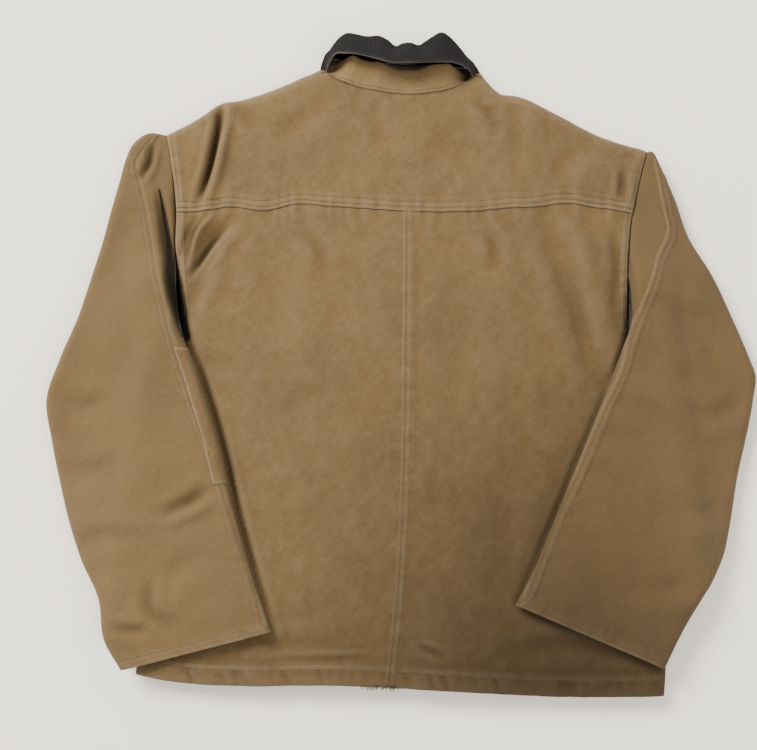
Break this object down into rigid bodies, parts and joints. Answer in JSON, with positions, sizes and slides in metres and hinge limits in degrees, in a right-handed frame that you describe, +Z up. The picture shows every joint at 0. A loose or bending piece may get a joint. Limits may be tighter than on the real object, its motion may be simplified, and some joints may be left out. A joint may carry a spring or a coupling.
{
  "type": "canvas work jacket",
  "caption": "Long-sleeved canvas work jacket with a dark corduroy collar, zip front and patch pockets, laid flat with its back up and both sleeves folded down over it.",
  "frame": {"origin": "middle of the outline on the surface the jacket lies on", "axes": "+Z up from that surface through the front and then the back, +Y from the hem towards the collar, +X from the wearer's left sleeve to the right one"},
  "size_m": [0.8492, 0.8068, 0.058],
  "materials": {
    "canvas": "brown cotton duck canvas",
    "facing": "brown cotton duck canvas, unworn",
    "lining": "dark blanket lining",
    "corduroy": "black-brown corduroy",
    "tape": "woven tape",
    "zip_metal": "worn brass"
  },
  "bodies": {
    "jacket": {"back_yoke": "canvas", "back_panel_left": "canvas", "back_panel_right": "canvas", "front_panel_left": "canvas", "front_panel_right": "canvas", "front_facing_left": "facing", "front_facing_right": "facing", "wind_flap": "facing", "body_lining_back": "lining", "body_lining_left": "lining", "body_lining_right": "lining", "hand_pocket_left": "canvas", "hand_pocket_right": "canvas", "chest_pocket": "canvas", "collar_stand": "canvas", "collar_wing_left": "corduroy", "collar_wing_right": "corduroy", "hanger_loop": "canvas", "zipper_tape_left": "tape", "zipper_tape_right": "tape", "zipper_teeth_left": "zip_metal", "zipper_teeth_right": "zip_metal", "zipper_top_stop_left": "zip_metal", "zipper_top_stop_right": "zip_metal", "zipper_box": "zip_metal", "zipper_pin": "zip_metal"},
    "sleeve_left": {"sleeve_top_left": "canvas", "sleeve_under_left": "canvas", "sleeve_lining_upper_left": "lining", "sleeve_lining_lower_left": "lining", "elbow_patch_left": "canvas"},
    "sleeve_right": {"sleeve_top_right": "canvas", "sleeve_under_right": "canvas", "sleeve_lining_upper_right": "lining", "sleeve_lining_lower_right": "lining", "elbow_patch_right": "canvas"},
    "collar": {"collar_leaf": "corduroy"},
    "slider": {"zipper_slider": "zip_metal"},
    "puller": {"zipper_puller": "zip_metal"}
  },
  "joints": [
    {"name": "sleeve_left_swing", "type": "hinge", "parent": "jacket", "child": "sleeve_left", "pos_m": [-0.2915, 0.273, 0.0137], "axis": [0, 0, -1], "range_deg": [0, 25]},
    {"name": "sleeve_right_swing", "type": "hinge", "parent": "jacket", "child": "sleeve_right", "pos_m": [0.3045, 0.254, 0.0137], "axis": [0, 0, 1], "range_deg": [0, 25]},
    {"name": "collar_turn", "type": "hinge", "parent": "jacket", "child": "collar", "pos_m": [-0.0892, 0.3766, 0.005], "axis": [0.9976, -0.0688, 0], "range_deg": [-30, 14]},
    {"name": "zipper_slide", "type": "slide", "parent": "jacket", "child": "slider", "axis": [0, -1, 0], "range_m": [0, 0.59]},
    {"name": "puller_swing", "type": "hinge", "parent": "slider", "child": "puller", "pos_m": [-0.0232, 0.2246, 0.00435], "axis": [1, 0, 0], "range_deg": [0, 165]}
  ]
}
